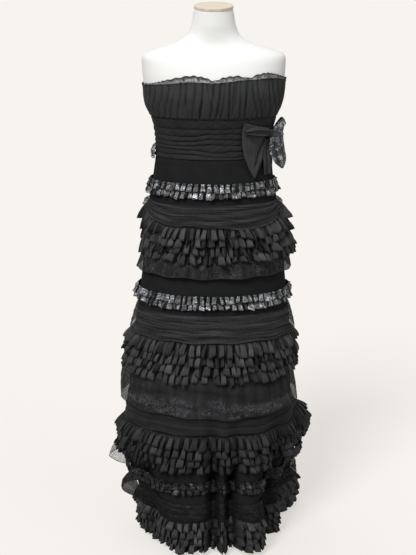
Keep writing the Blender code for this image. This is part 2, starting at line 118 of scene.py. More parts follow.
def ring(sections, angle, height):
    """x and y of a section at this height. Angles are in degrees from the front centre."""
    turn = np.radians(angle)
    across, ahead = np.sin(turn), np.cos(turn)
    marks = sections["height"]
    by_name = {name: smooth(marks, column, height) for name, column in sections.items()}
    wide = np.where(across > 0, by_name["left"], by_name["right"])
    deep = np.where(ahead > 0, by_name["front"], by_name["back"])
    square = by_name.get("square", 1)
    x = np.sign(across) * np.abs(across) ** square * wide
    y = -np.sign(ahead) * np.abs(ahead) ** square * deep
    return x, y


def pushed(x, y, height, out):
    """Points moved level away from the gown's axis."""
    grow = 1 + out / np.hypot(x, y)
    return np.stack([x * grow, y * grow, height + 0 * x], axis=-1)


def torso(angle, height, out=0.0):
    """Points off the dress form's surface."""
    return pushed(*ring(FORM, angle, height), height, out)


print("form at the underbust:", torso(np.full(1, 90.0), np.full(1, UNDERBUST)).round(3))

# %% [markdown]
# ## How the skirt hangs
# Below the knee the skirt falls in a few deep folds. Each is a soft bump round the skirt, out
# or in, that begins at one height and is whole at another. Everything that is sewn on the
# skirt is worked out from this one surface.

# %% The skirt's folds
FOLDS = table(
    "angle spread depth top full",
    (0.0, 7.5, -0.031, 0.46, 0.20),
    (15.0, 7.5, -0.033, 0.42, 0.18),
    (31.0, 18.0, 0.026, 0.36, 0.06),
    (52.5, 15.0, -0.036, 0.42, 0.20),
    (82.5, 22.5, -0.030, 0.30, 0.06),
    (116.0, 26.0, 0.058, 0.42, 0.28),
    (138.0, 12.0, -0.026, 0.44, 0.22),
    (159.0, 15.0, -0.028, 0.40, 0.20),
    (-159.0, 15.0, -0.026, 0.46, 0.24),
    (-134.0, 15.0, -0.032, 0.42, 0.22),
    (-108.0, 12.0, -0.024, 0.38, 0.20),
    (-52.5, 15.0, -0.014, 0.38, 0.22),
    (-26.0, 22.5, 0.018, 0.36, 0.08),
)
TUCK = 0.0007
FOLD_ROOM = 0.20
# painted shade inside the hanging folds: how much darker, and how deep a fold is wholly shaded
FOLD_SHADE = 0.9
FULL_SHADE_DEPTH = 0.023
SIDE_ANGLE = 95
SIDE_SPREAD = 60


def soft_step(share):
    """0 to 1 with soft ends."""
    share = np.clip(share, 0, 1)
    return share * share * (3 - 2 * share)


def soft_bump(away):
    """1 at nothing away, and 0 from 1 away."""
    return 0.5 + 0.5 * np.cos(np.pi * np.minimum(1, np.abs(away)))


def run(v, start, end, soft):
    """1 from start to end, with soft ends."""
    return soft_step((v - start) / soft) * soft_step((end - v) / soft)


def drape(angle, height):
    """How far the folds stand out from the skirt's sections, or in."""
    total = 0.0 * angle
    for centre, spread, depth, top, full in zip(*FOLDS.values()):
        away = (angle - centre + 180) % 360 - 180
        grown = soft_step((top - height) / (top - full))
        total = total + depth * soft_bump(away / spread) * grown
    return total


def skirt(angle, height, out=0.0):
    """Points off the skirt's surface."""
    return pushed(*ring(SKIRT, angle, height), height, drape(angle, height) + out)


def painted_fold_light(angle, height):
    """The skirt's painted light: 1 in the open, less inside a hanging fold, painted as shade."""
    return 1 - FOLD_SHADE * np.clip(-drape(angle, height) / FULL_SHADE_DEPTH, 0, 1)


def at_sides(angle):
    """1 at the wearer's two sides, and 0 at the front and the back."""
    return soft_bump((np.abs(angle) - SIDE_ANGLE) / SIDE_SPREAD)


def fold_room(angle, height):
    """The room that a layer needs where the folds are steep."""
    return TUCK + FOLD_ROOM * np.abs(drape(angle, height))


print("skirt at the hem:", skirt(np.array([0.0, 90.0]), np.full(2, HEM)).round(3).tolist())

# %% [markdown]
# ## Helpers for cloth
# Every piece starts as a flat grid, like cut cloth on a table. A function takes the grid's two
# directions, u and v, to the place where the cloth hangs. The grid is also the UV map, in
# metres, so weave and lace keep their real size and follow every pleat. The function also
# gives each point its painted light: 1 where the cloth lies open and 0 deep in a fold, where
# the colour is painted darker as shade, because hardly any light comes back out.

# %% A grid laid out by a function
WELD = 0.00002


@contextmanager
def opened(mesh):
    """A mesh as a bmesh, put back when the work on it is done."""
    bm = bmesh.new()
    bm.from_mesh(mesh)
    yield bm
    bm.to_mesh(mesh)
    bm.free()


def grid_mesh(name, columns, rows, place, closed=False):
    """The mesh of a cloth piece, and its cut: how wide, how tall and how large it is."""
    mesh = bpy.data.meshes.new(name)
    with opened(mesh) as bm:
        bmesh.ops.create_grid(bm, x_segments=columns, y_segments=rows, size=0.5)
    flat = np.empty(len(mesh.vertices) * 3)
    mesh.vertices.foreach_get("co", flat)
    column = np.rint((flat[0::3] + 0.5) * columns)
    row = np.rint((flat[1::3] + 0.5) * rows)
    points, crown = place(column / columns, row / rows)
    crown = np.broadcast_to(crown, column.shape).astype(float)
    # painted light for the finishes: 1 in the open, less where shade is painted into the colour
    mesh.attributes.new("crown", "FLOAT", "POINT").data.foreach_set("value", crown)
    mesh.vertices.foreach_set("co", points.ravel())
    laid = points[np.lexsort((column, row))].reshape(rows + 1, columns + 1, 3)
    across = np.diff(laid, axis=1)
    upward = np.diff(laid, axis=0)
    wide = np.linalg.norm(across, axis=2).sum(axis=1).max()
    tall = np.linalg.norm(upward, axis=2).sum(axis=0).max()
    area = np.linalg.norm(np.cross(across[:-1], upward[:, :-1]), axis=2).sum()
    corners = np.empty(len(mesh.loops), dtype=np.int32)
    mesh.loops.foreach_get("vertex_index", corners)
    uv = np.stack([column / columns * wide, row / rows * tall], axis=-1)[corners]
    mesh.uv_layers.new(name="cut").data.foreach_set("uv", uv.ravel())
    if closed:
        with opened(mesh) as bm:
            bmesh.ops.remove_doubles(bm, verts=bm.verts, dist=WELD)
    mesh.shade_smooth()
    mesh.update()
    return mesh, (wide, tall, area)


# %% A cloth piece that stands for its solids
CLOTH = 0.0008
NET = 0.0004
LEAST_FILL = 0.3
PRESSED_EDGE = math.radians(32)


def placed(name, data):
    """A new object in the scene."""
    obj = bpy.data.objects.new(name, data)
    bpy.context.scene.collection.objects.link(obj)
    return obj


def piece_of(name, mesh, look, nodes):
    """An object that rides on the frame and stands for some solids."""
    obj = placed(name, mesh)
    mesh.materials.append(look)
    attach(obj, "root")
    if nodes:
        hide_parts(*nodes)
    print(f"{name}: {len(mesh.polygons)} faces")
    return obj


def sew(
    name, columns, rows, place, look, nodes,
    thick=CLOTH, closed=False, pressed=False,
):
    """One piece of cloth: laid out and given its thickness. It stands for the solids in nodes."""
    mesh, (wide, tall, area) = grid_mesh(name, columns, rows, place, closed)
    if pressed:
        mesh.set_sharp_from_angle(angle=PRESSED_EDGE)
    obj = piece_of(name, mesh, look, nodes)
    wall = obj.modifiers.new("Thickness", "SOLIDIFY")
    wall.thickness = thick
    wall.offset = -1
    area = min(max(area, LEAST_FILL * wide * tall), wide * tall)
    print(f"    cut {wide:.2f} x {tall:.3f} m")


# %% [markdown]
# ## Finishes
# The gown is all black, so its cloths differ by sheen and texture more than by colour. Chiffon
# is matt, taffeta has a soft sheen, lace has a metallic thread, and net shows what is behind
# it. A few helpers wire up the nodes, and a value that is even all over is set on the shader's
# own socket.

# %% Node helpers
def new_look(name, color, rough, sheen=0.0, metal=0.0, specular=0.5):
    """A material, with its even values set on the shader."""
    look = bpy.data.materials.new(name)
    look.use_nodes = True
    shader = look.node_tree.nodes["Principled BSDF"]
    even = {
        "Base Color": (*color, 1),
        "Roughness": rough,
        "Sheen Weight": sheen,
        "Sheen Roughness": 0.4,
        "Metallic": metal,
        "Specular IOR Level": specular,
    }
    for socket, value in even.items():
        shader.inputs[socket].default_value = value
    print("finish:", name)
    return look


def add_node(look, kind, links=(), **values):
    """A shader node with its sockets set by name. links are (socket, where it comes from)."""
    made = look.node_tree.nodes.new("ShaderNode" + kind)
    for key, value in values.items():
        socket = key.replace("_", " ").capitalize()
        if socket in made.inputs:
            made.inputs[socket].default_value = value
        else:
            setattr(made, key, value)
    for socket, source in links:
        look.node_tree.links.new(source, made.inputs[socket])
    return made


def to_shader(look, socket, source):
    """Feeds a socket of the material's shader."""
    look.node_tree.links.new(source, look.node_tree.nodes["Principled BSDF"].inputs[socket])


def coordinates(look, kind="Object"):
    """Object coordinates, or the UV map of the cut."""
    return add_node(look, "TexCoord").outputs[kind]


def noise(look, at, scale, detail=2, distortion=0.0):
    """An uneven share from 0 to 1."""
    values = {"scale": scale, "detail": detail, "distortion": distortion}
    return add_node(look, "TexNoise", [("Vector", at)], **values).outputs[0]


def stretched(look, at, scale):
    """Coordinates scaled along each axis."""
    return add_node(look, "Mapping", [("Vector", at)], scale=scale).outputs[0]


def axis(look, at, side):
    """One axis of some coordinates, from 0 to 2."""
    return add_node(look, "SeparateXYZ", [(0, at)]).outputs[side]


def ramp(look, source, *stops):
    """A colour ramp through stops. Each is a place and a colour or a level."""
    made = add_node(look, "ValToRGB", [(0, source)])
    elements = made.color_ramp.elements
    while len(elements) < len(stops):
        elements.new(0.5)
    for element, (place, color) in zip(elements, stops):
        element.position = place
        element.color = (*(color if isinstance(color, tuple) else (color,) * 3), 1)
    return made.outputs["Color"]


def bump(look, height, strength, distance=0.001, below=None):
    """Fine relief on the shader."""
    links = [("Height", height)] + ([("Normal", below)] if below else [])
    made = add_node(look, "Bump", links, strength=strength, distance=distance)
    to_shader(look, "Normal", made.outputs["Normal"])
    return made.outputs["Normal"]


def grey(value):
    """A near-neutral colour, a little cool."""
    return (value * 0.97, value, value * 1.06)


# %% Steps that the cloths share
def math_node(look, operation, first, second=None):
    """A Math node on a socket and a socket or number."""
    made = add_node(look, "Math", [(0, first)], operation=operation)
    if isinstance(second, (int, float)):
        made.inputs[1].default_value = second
    elif second is not None:
        look.node_tree.links.new(second, made.inputs[1])
    return made.outputs[0]


def times(look, first, second):
    """A product."""
    return math_node(look, "MULTIPLY", first, second)


def largest(look, first, *others):
    """The largest of several shares."""
    for other in others:
        first = math_node(look, "MAXIMUM", first, other)
    return first


def blended(look, share, low, high):
    """A colour between two, by a share. Each is a socket or a grey."""
    mixer = add_node(look, "Mix", data_type="RGBA")
    look.node_tree.links.new(share, mixer.inputs[0])
    for socket, color in ((mixer.inputs[6], low), (mixer.inputs[7], high)):
        if isinstance(color, float):
            socket.default_value = (*grey(color), 1)
        else:
            look.node_tree.links.new(color, socket)
    return mixer.outputs[2]


def colour_with_painted_shade(look, color, deep=0.002):
    """Gives the shader its colour, with shade painted in where the painted light is low."""
    crown = add_node(look, "Attribute", attribute_name="crown")
    to_shader(look, "Base Color", blended(look, crown.outputs["Fac"], deep, color))


# %% Black cloths
def woven(name, dark, light, rough, sheen, threads, relief, specular=0.25, crush=30):
    """A plain black cloth: an uneven dye from dark to light, a thread texture and soft crushing.
    threads and crush are how fine these two are, and relief is how deep the threads look."""
    look = new_look(name, grey(dark), rough, sheen, specular=specular)
    dye = noise(look, coordinates(look), crush, 4)
    colour_with_painted_shade(look, ramp(look, dye, (0.35, grey(dark)), (0.7, grey(light))))
    thread = noise(look, coordinates(look, "UV"), threads)
    normal = bump(look, thread, relief, 0.0004)
    bump(look, dye, 0.25, 0.003, normal)
    return look


chiffon = woven("black chiffon", 0.026, 0.036, 0.85, 0.04, 900, 0.25)
bow_chiffon = woven("bow chiffon", 0.032, 0.044, 0.80, 0.04, 900, 0.25)
sash_chiffon = woven("sash chiffon", 0.011, 0.017, 0.78, 0.03, 900, 0.20)
band_chiffon = woven("lined chiffon", 0.011, 0.018, 0.85, 0.03, 900, 0.20)
skirt_cloth = woven("matt skirt cloth", 0.010, 0.013, 0.92, 0.0, 1100, 0.20, 0.12)
taffeta = woven("black taffeta", 0.028, 0.048, 0.60, 0.03, 1200, 0.15, 0.38, 70)
# the same taffeta painted darker, as shade on a lower tier
shaded_taffeta = woven("taffeta in painted shade", 0.022, 0.037, 0.64, 0.02, 1200, 0.15, 0.26, 70)

# %% [markdown]
# Net is a regular mesh of fine threads with holes about a millimetre wide, through which the
# skirt shows. Lace is net with motifs worked on it in a paler thread. Here they are scrolls:
# the level lines of a bent pattern, which curl and close on themselves as worked cord does.

# %% The mesh of the net, and the scrolls of the lace
NET_PITCH = 0.0012
EDGE_PITCH = 0.0015


def threads_of_net(look, cut, thread, pitch=NET_PITCH):
    """1 on the threads of a square mesh and 0 in its holes. thread is a share of the pitch."""
    lines = []
    for side in (0, 1):
        away = math_node(look, "PINGPONG", times(look, axis(look, cut, side), 1 / pitch), 0.5)
        lines.append(math_node(look, "GREATER_THAN", away, 0.5 - thread / 2))
    return largest(look, *lines)


def scrolls(look, cut, size, line, soft=0.16, turns=9.0):
    """Curling lines: the level lines of a distorted pattern."""
    bent = noise(look, cut, size, 1.0, 1.4)
    turn = math_node(look, "PINGPONG", times(look, bent, turns), 1.0)
    return ramp(look, turn, (line, 1), (line + soft, 0))


# %% Net, plain and with lace worked on it
HEM_TAPE = 0.0022
BORDER_WANDER = 1.6
BORDER_STOPS = (0.38, 0.15), (0.52, 0.8), (0.68, 0.7), (0.82, 0)


def lace_border(look, cut, border, motif, line):
    """1 on the scrolls of a lace edge as tall as border, and 0 off them and above it."""
    wander = times(look, noise(look, cut, 30, 3), BORDER_WANDER)
    level = math_node(look, "ADD", times(look, axis(look, cut, 1), 1 / border), wander)
    edge = ramp(look, times(look, level, 0.5), *BORDER_STOPS)
    return times(look, scrolls(look, cut, motif, line), edge)


def sheer(
    name, thread, veil, streaks, border=0.0, pale=0.1, motif=130, line=0.10, mesh=0.28
):
    """Net. thread is its colour and veil how much its holes cover. streaks is how finely its
    gathers run across and up, and how strongly they show. border is the height of its lace
    edge in metres, up from the hem, with pale scrolls."""
    look = new_look(name, grey(thread), 0.7, 0.0, specular=0.2)
    cut = coordinates(look, "UV")
    *fine, contrast = streaks
    folds = noise(look, stretched(look, cut, (*fine, 1)), 1, 3, 0.3)
    # the gathers' light and shade, painted into the colour along the streaks
    deep, high = thread * (1 - 0.55 * contrast), thread * (1 + 0.9 * contrast)
    color = ramp(look, folds, (0.36, grey(deep)), (0.66, grey(high)))
    solid = [threads_of_net(look, cut, mesh), veil]
    if border:
        worked = lace_border(look, cut, border, motif, line)
        color = blended(look, worked, color, pale)
        solid.append(worked)
    hem = math_node(look, "LESS_THAN", axis(look, cut, 1), HEM_TAPE)
    colour_with_painted_shade(look, blended(look, hem, color, thread * 1.8))
    to_shader(look, "Alpha", largest(look, *solid, hem))
    bump(look, folds, 0.3, 0.004)
    return look


LEVEL_FOLDS = (9, 210, 1.0)
net = sheer("black net", 0.034, 0.15, LEVEL_FOLDS)
bordered_net = sheer("net with a lace edge", 0.024, 0.20, (60, 5, 0.6), 0.060, 0.17, 85, 0.12)
lining = sheer("lining net", 0.034, 0.04, LEVEL_FOLDS, mesh=0.13)
dark_lace = sheer("black lace on net", 0.017, 0.45, (90, 30, 1.0), 0.30, 0.100, 70, 0.14)
deep_lace = sheer("deep black lace on net", 0.003, 0.40, (60, 60, 1.0), 0.30, 0.040, 90, 0.12)


# %% Grey metallic lace
def metallic_lace(
    name, dark, middle, bright, size, line, metal=0.3, soft=0.16, holes=None, edging=1.0
):
    """Lace of grey and metallic thread: scrolls and bright patches on a dark ground. holes is
    how much the holes cover, where it has them, and edging is the height from which a bound
    edge is solid."""
    look = new_look(name, grey(middle), 0.38, 0.0, metal=metal, specular=0.4)
    cut = coordinates(look, "UV")
    motif = scrolls(look, cut, size, line, soft)
    patches = noise(look, coordinates(look), 70)
    specks = noise(look, cut, size * 3)
    ground = ramp(look, specks, (0.40, grey(dark)), (0.58, grey(middle)))
    shine = ramp(look, patches, (0.44, grey(middle)), (0.60, grey(bright)))
    colour_with_painted_shade(look, blended(look, motif, ground, shine), 0.006)
    if holes is not None:
        threads = threads_of_net(look, cut, 0.10, EDGE_PITCH)
        bound = math_node(look, "GREATER_THAN", axis(look, cut, 1), edging)
        to_shader(look, "Alpha", largest(look, threads, holes, motif, bound))
    bump(look, motif, 0.5, 0.0006)
    return look


NECK_EDGING = 0.0175
frill_lace = metallic_lace("grey metallic lace", 0.030, 0.20, 0.90, 120, 0.30)
# the grey lace painted darker, as shade, for the lowest frill
dim_lace = metallic_lace("shaded metallic lace", 0.008, 0.022, 0.13, 120, 0.16)
edge_lace = metallic_lace(
    "see-through edge lace", 0.01, 0.02, 0.05, 60, 0.12, holes=0.02, edging=NECK_EDGING
)
bow_lace = metallic_lace("black lace with pale scrolls", 0.006, 0.08, 0.98, 105, 0.27, 0.1, 0.08)


# %% Jersey, plywood, steel and paint
def jersey_look():
    """White knitted jersey, stretched smooth."""
    look = new_look("white jersey", (0.80, 0.80, 0.785), 0.75, 0.2)
    place = coordinates(look)
    shades = (0.3, (0.79, 0.79, 0.78)), (0.7, (0.83, 0.83, 0.815))
    to_shader(look, "Base Color", ramp(look, noise(look, place, 6), *shades))
    bump(look, noise(look, place, 700), 0.12, 0.0005)
    return look


PLY = 0.0013


def ply_look(tilt):
    """Pale plywood: growth lines on the faces, and darker glue lines round the edge."""
    look = new_look("pale plywood", (0.70, 0.60, 0.48), 0.45)
    level = add_node(
        look, "Mapping", [("Vector", coordinates(look))], rotation=(-tilt, 0, 0)
    ).outputs[0]
    layers = times(look, math_node(look, "PINGPONG", axis(look, level, 2), PLY), 700)
    glue = ramp(look, layers, (0.04, 1), (0.2, 0))
    grain = noise(look, stretched(look, level, (14, 160, 0.01)), 1.4, 3)
    wood = ramp(look, grain, (0.35, (0.62, 0.52, 0.40)), (0.65, (0.74, 0.66, 0.54)))
    to_shader(look, "Base Color", blended(look, times(look, glue, 0.35), wood, 0.22))
    bump(look, grain, 0.1, 0.0005)
    return look


def stand_look(name, color, rough, metal, stretch):
    """Steel or paint with a fine uneven gloss."""
    look = new_look(name, color, rough, metal=metal)
    marks = noise(look, stretched(look, coordinates(look), stretch), 8, 4)
    gloss = ramp(look, marks, (0.3, rough - 0.08), (0.7, rough + 0.1))
    to_shader(look, "Roughness", gloss)
    bump(look, marks, 0.05, 0.0004)
    return look


NECK_TILT = math.radians(8.2)
jersey = jersey_look()
plywood = ply_look(NECK_TILT)
steel = stand_look("brushed steel", (0.58, 0.58, 0.58), 0.34, 1.0, (1, 1, 40))
paint = stand_look("pale satin paint", (0.78, 0.78, 0.77), 0.42, 0.0, (60, 60, 60))

# %% [markdown]
# ## The dress form
# A dress form is a padded shell with a stretched jersey cover, a wooden cap on its neck, and
# a pole on a heavy base. The body is one grid round the sections, closed at the bottom. The
# neck ends in a plane that tips forwards, under the cap.

# %% The form's body
NECK_TOP = 1.4566
NECK_RADIUS = 0.0495
NECK_AHEAD = 0.006
FORM_LOW = FORM["height"][0]
SHOULDER_TOP = FORM["height"][-1]
NECK_SHARE = 0.12


def neck_rim(angle):
    """Points round the tilted top of the neck."""
    turn = np.radians(angle)
    x, y = np.sin(turn) * NECK_RADIUS, -np.cos(turn) * NECK_RADIUS
    level, up = y * math.cos(NECK_TILT), y * math.sin(NECK_TILT)
    return np.stack([x, level - NECK_AHEAD, NECK_TOP + up], -1)


def on_form(u, v):
    """The body from its closed underside to the neck."""
    angle = 360 * u - 180
    share = np.clip((v - 1 + NECK_SHARE) / NECK_SHARE, 0, 1)
    body = np.clip(v / (1 - NECK_SHARE), 0, 1)
    height = FORM_LOW + (SHOULDER_TOP - FORM_LOW) * body
    low = torso(angle, height)
    return low + (neck_rim(angle) - low) * share[:, None], 1


mesh, _ = grid_mesh("form_body", 108, 120, on_form, closed=True)
with opened(mesh) as bm:
    bmesh.ops.holes_fill(bm, edges=[e for e in bm.edges if e.is_boundary], sides=0)
    bmesh.ops.recalc_face_normals(bm, faces=bm.faces)
piece_of("form_body", mesh, jersey, ["form_torso"])


# %% The cap, the pole and the base
SOFT_EDGE = 0.0004


def turned(name, profile, steps, look, node, place=Matrix.Identity(4)):
    """A round piece: its half profile spun about the axis."""
    mesh = bpy.data.meshes.new(name)
    with opened(mesh) as bm:
        line = [bm.verts.new((radius, 0, height)) for radius, height in profile]
        for first, second in zip(line, line[1:]):
            bm.edges.new((first, second))
        bmesh.ops.spin(
            bm, geom=bm.verts[:] + bm.edges[:], axis=(0, 0, 1), cent=(0, 0, 0),
            steps=steps, angle=math.tau, use_merge=True,
        )
        bmesh.ops.remove_doubles(bm, verts=bm.verts, dist=WELD)
        bmesh.ops.recalc_face_normals(bm, faces=bm.faces)
        bmesh.ops.transform(bm, matrix=place, verts=bm.verts)
    mesh.shade_smooth()
    obj = piece_of(name, mesh, look, [node])
    soft = obj.modifiers.new("Soft edges", "BEVEL")
    soft.width = SOFT_EDGE
    soft.segments = 2
    soft.limit_method = "ANGLE"
    obj.modifiers.new("Shading", "WEIGHTED_NORMAL")


SEAM = 0.0003
CAP_RADIUS = 0.0505
CAP_THICK = 0.0076
GROOVE = 0.0008
seat = Matrix.Translation((0, -NECK_AHEAD, NECK_TOP)) @ Matrix.Rotation(NECK_TILT, 4, "X")
lift = Matrix.Translation((0, 0, SEAM))
cap_profile = (
    (0, CAP_THICK),
    (CAP_RADIUS - GROOVE, CAP_THICK),
    (CAP_RADIUS, CAP_THICK - GROOVE),
    (CAP_RADIUS, CAP_THICK * 0.5 + GROOVE / 2),
    (CAP_RADIUS - GROOVE, CAP_THICK * 0.5),
    (CAP_RADIUS, CAP_THICK * 0.5 - GROOVE / 2),
    (CAP_RADIUS, GROOVE),
    (CAP_RADIUS - GROOVE, 0),
    (0, 0),
)
turned("neck_cap", cap_profile, 96, plywood, "form_neck_cap", seat @ lift)

POLE_RADIUS = 0.0125
BASE_RADIUS = 0.130
BASE_THICK = 0.008
BASE_EDGE = 0.002
pole_profile = (
    (0, FORM_LOW - SEAM),
    (POLE_RADIUS, FORM_LOW - SEAM),
    (POLE_RADIUS, BASE_THICK + SEAM),
    (0, BASE_THICK + SEAM),
)
turned("pole", pole_profile, 40, steel, "form_pole")
base_profile = (
    (0, BASE_THICK),
    (BASE_RADIUS - BASE_EDGE, BASE_THICK),
    (BASE_RADIUS, BASE_THICK - BASE_EDGE),
    (BASE_RADIUS, 0),
    (0, 0),
)
turned("round_base", base_profile, 120, paint, "form_base")

# %% [markdown]
# ## The bodice
# The bodice is chiffon gathered over a boned lining. Soft ridges run from the sash to the
# neckline, parted by narrow sharp creases. Those at the front are listed: each row of
# the table has a crease's angle at the neckline and at the sash, its depth, and where it
# starts and ends. Those at the back, and finer ones all round, are dealt out by a seeded
# generator, so they are uneven and yet the same each time.

# %% The neckline and the creases
NECKLINE = table(
    "angle height frill",
    (-180, 1.262, 0.010),
    (-130, 1.262, 0.011),
    (-90, 1.264, 0.004),
    (-62, 1.270, 0.003),
    (-45, 1.273, 0.007),
    (-17, 1.281, 0.015),
    (-6, 1.280, 0.013),
    (0, 1.279, 0.006),
    (7, 1.281, 0.012),
    (17, 1.284, 0.012),
    (26, 1.286, 0.005),
    (34, 1.287, 0.011),
    (47, 1.288, 0.013),
    (70, 1.283, 0.006),
    (90, 1.276, 0.006),
    (130, 1.266, 0.009),
    (180, 1.262, 0.010),
)
FRONT_CREASES = (
    (-70.0, -84.0, 1.0, 0.0, 1.2),
    (-60.0, -77.0, 1.0, -0.2, 1.2),
    (-51.5, -68.0, 0.8, -0.2, 1.0),
    (-43.0, -57.0, 0.7, -0.2, 1.2),
    (-36.0, -48.0, 0.9, -0.2, 1.2),
    (-30.5, -41.0, 0.7, -0.2, 0.9),
    (-25.0, -33.0, 0.8, -0.2, 1.2),
    (-20.0, -26.5, 0.7, 0.2, 1.2),
    (-13.2, -18.8, 0.8, -0.2, 1.2),
    (-7.2, -12.2, 1.0, -0.2, 1.2),
    (-4.5, -5.5, 0.8, 0.7, 1.2),
    (0.2, -3.0, 0.8, -0.2, 1.2),
    (4.8, 2.0, 1.0, -0.2, 1.2),
    (7.8, 6.0, 0.9, -0.2, 1.2),
    (11.4, 13.2, 1.3, -0.2, 1.2),
    (14.4, 15.6, 1.2, 0.0, 1.2),
    (16.8, 17.2, 1.1, 0.2, 1.2),
    (19.4, 22.8, 0.7, -0.2, 1.2),
    (25.0, 27.5, 0.7, -0.2, 1.2),
    (29.5, 41.5, 0.9, -0.2, 1.0),
    (34.2, 48.0, 0.9, -0.2, 1.2),
    (39.2, 52.5, 0.5, 0.0, 0.8),
    (46.0, 59.8, 0.7, -0.2, 1.2),
    (51.0, 71.0, 1.0, -0.2, 1.2),
    (59.0, 80.0, 1.1, -0.2, 1.2),
    (70.0, 86.0, 1.2, 0.0, 1.2),
)
EASE = 0.0008
CREASE_DEPTH = 0.0033
CREASE_WIDTH = 0.75
CREASE_BEND = 1.6
RIDGE_SHARE, RIDGE_AWAY, RIDGE_WIDTH = 0.25, 2.2, 1.1
BACK_CREASES = 34
FINE_CREASES = 170
gathering = np.random.default_rng(11)


def strewn(first, last, count, stray):
    """Angles from first to last, each a little off its even place."""
    return np.linspace(first, last, count) + gathering.uniform(-stray, stray, count)


def dealt(tops, slant, *limits):
    """Creases from these angles. Their slant, depth, start and end are dealt out."""
    return [
        (top, top + gathering.normal(0, slant), *(gathering.uniform(*pair) for pair in limits))
        for top in tops
    ]


CREASES = table(
    "top low depth start end",
    *FRONT_CREASES,
    *dealt(strewn(93, 267, BACK_CREASES, 1.8), 3.5, (0.5, 1.2), (-0.4, 0.3), (0.7, 1.3)),
    *dealt(strewn(-178, 178, FINE_CREASES, 1.2), 5, (0.15, 0.5), (-0.3, 0.6), (0.5, 1.2)),
)


def neckline(angle, column="height"):
    """The height of the neckline round the body, or of the frill on it."""
    return smooth(NECKLINE["angle"], NECKLINE[column], angle)


def gathers(angle, v):
    """How far the creases draw the cloth in. v is 0 at the sash and 1 at the neckline."""
    total = 0.0 * angle
    for top, low, depth, start, end in zip(*CREASES.values()):
        middle = top + (low - top) * (1 - v) ** CREASE_BEND
        away = np.abs((angle - middle + 180) % 360 - 180)
        length = run(v, start, end, 0.3)
        ridge = RIDGE_SHARE * np.exp(-(((away - RIDGE_AWAY) / RIDGE_WIDTH) ** 2))
        total = total + depth * length * (np.exp(-away / CREASE_WIDTH) - ridge)
    return -CREASE_DEPTH * total


# %% Three panels of anything
SEAM_ANGLE = 0.11
PANELS = {"front": (-90, 90), "back_left": (90, 180), "back_right": (-180, -90)}


def sew_panels(part, place_at, front, back, rows, look):
    """The front and the two backs of a part. place_at takes an angle and v to a place, and front
    and back are how many columns they have."""
    for side, (start, end) in PANELS.items():
        first, last = start + SEAM_ANGLE, end - SEAM_ANGLE
        sew(
            f"{part}_{side}_cloth", front if side == "front" else back, rows,
            lambda u, v: place_at(first + (last - first) * u, v),
            look, [f"{part}_{side}"],
        )


# %% The bodice's panels
STAND_OFF, LEAST_OFF = 0.0034, 0.0006
BELLY = 0.0012


def on_bust(angle, v):
    """The gathered bodice between the sash and the neckline."""
    low = UNDERBUST + SEAM
    height = low + (neckline(angle) - low) * v
    loose = EASE + STAND_OFF + BELLY * np.sin(np.pi * v)
    drawn = gathers(angle, v)
    points = torso(angle, height, np.maximum(EASE + LEAST_OFF, loose + drawn))
    # painted shade in the creases: darker where the cloth is drawn in
    return points, np.clip(1 + 0.78 * drawn / CREASE_DEPTH, 0.15, 1)


sew_panels("bodice", on_bust, 600, 260, 18, chiffon)

# %% The lace frill on the neckline
FRILL_BELOW = 0.004
FRILL_OFF = 0.0042
FRILL_LEAN = 0.0010
SCALLOP = 0.0012
RIPPLE = 0.0014


def on_neckline(u, v):
    """The frill, from just below the neckline up to its scalloped edge."""
    angle = 360 * u - 180
    turn = np.radians(angle)
    height = neckline(angle) - FRILL_BELOW + (neckline(angle, "frill") + FRILL_BELOW) * v
    height = height + SCALLOP * v * np.sin(61 * turn + 3 * np.sin(7 * turn))
    ripple = RIPPLE * np.sin(74 * turn + 4 * np.sin(5 * turn))
    return torso(angle, height, EASE + FRILL_OFF + v * (ripple - FRILL_LEAN)), 1


sew(
    "neckline_frill_cloth", 600, 5, on_neckline, edge_lace,
    ["neckline_frill"], thick=NET, closed=True,
)

# %% [markdown]
# ## The sash
# The sash is chiffon, folded as it is wrapped and stitched down: a smooth stretch under the
# bust, then uneven folds that run almost level. Each row of the table is a crease, with its
# height at angles round the body. The cloth rolls out from each crease and turns in sharply
# at its lower side, so a fold catches light from above and leaves a dark line below, which is
# also painted into the colour as shade.

# %% The sash's folds
SASH_AT = np.array((-180.0, -90.0, -45.0, -19.0, -5.0, 3.0, 17.0, 30.0, 90.0, 180.0))
SASH_CREASES = np.array((
    (1.0810,) * len(SASH_AT),
    (1.0935, 1.0930, 1.0935, 1.0945, 1.0900, 1.0885, 1.0870, 1.0900, 1.0920, 1.0935),
    (1.1065, 1.1040, 1.1070, 1.1060, 1.1015, 1.0990, 1.1035, 1.1025, 1.1050, 1.1065),
    (1.1170, 1.1165, 1.1150, 1.1175, 1.1210, 1.1205, 1.1180, 1.1170, 1.1170, 1.1170),
    (1.1310, 1.1290, 1.1260, 1.1290, 1.1345, 1.1340, 1.1330, 1.1310, 1.1310, 1.1310),
    (1.1460, 1.1440, 1.1400, 1.1415, 1.1480, 1.1475, 1.1480, 1.1450, 1.1450, 1.1460),
    (1.1610, 1.1600, 1.1590, 1.1600, 1.1600, 1.1600, 1.1610, 1.1610, 1.1610, 1.1610),
    (1.1857,) * len(SASH_AT),
))
SASH_DEPTHS = (0.0030, 0.0040, 0.0052, 0.0042, 0.0044, 0.0036, 0.0020)
SASH_LOW = SASH_CREASES[0, 0]
SASH_OFF = 0.0010
SLACK = 0.00030
SWELL = 0.35


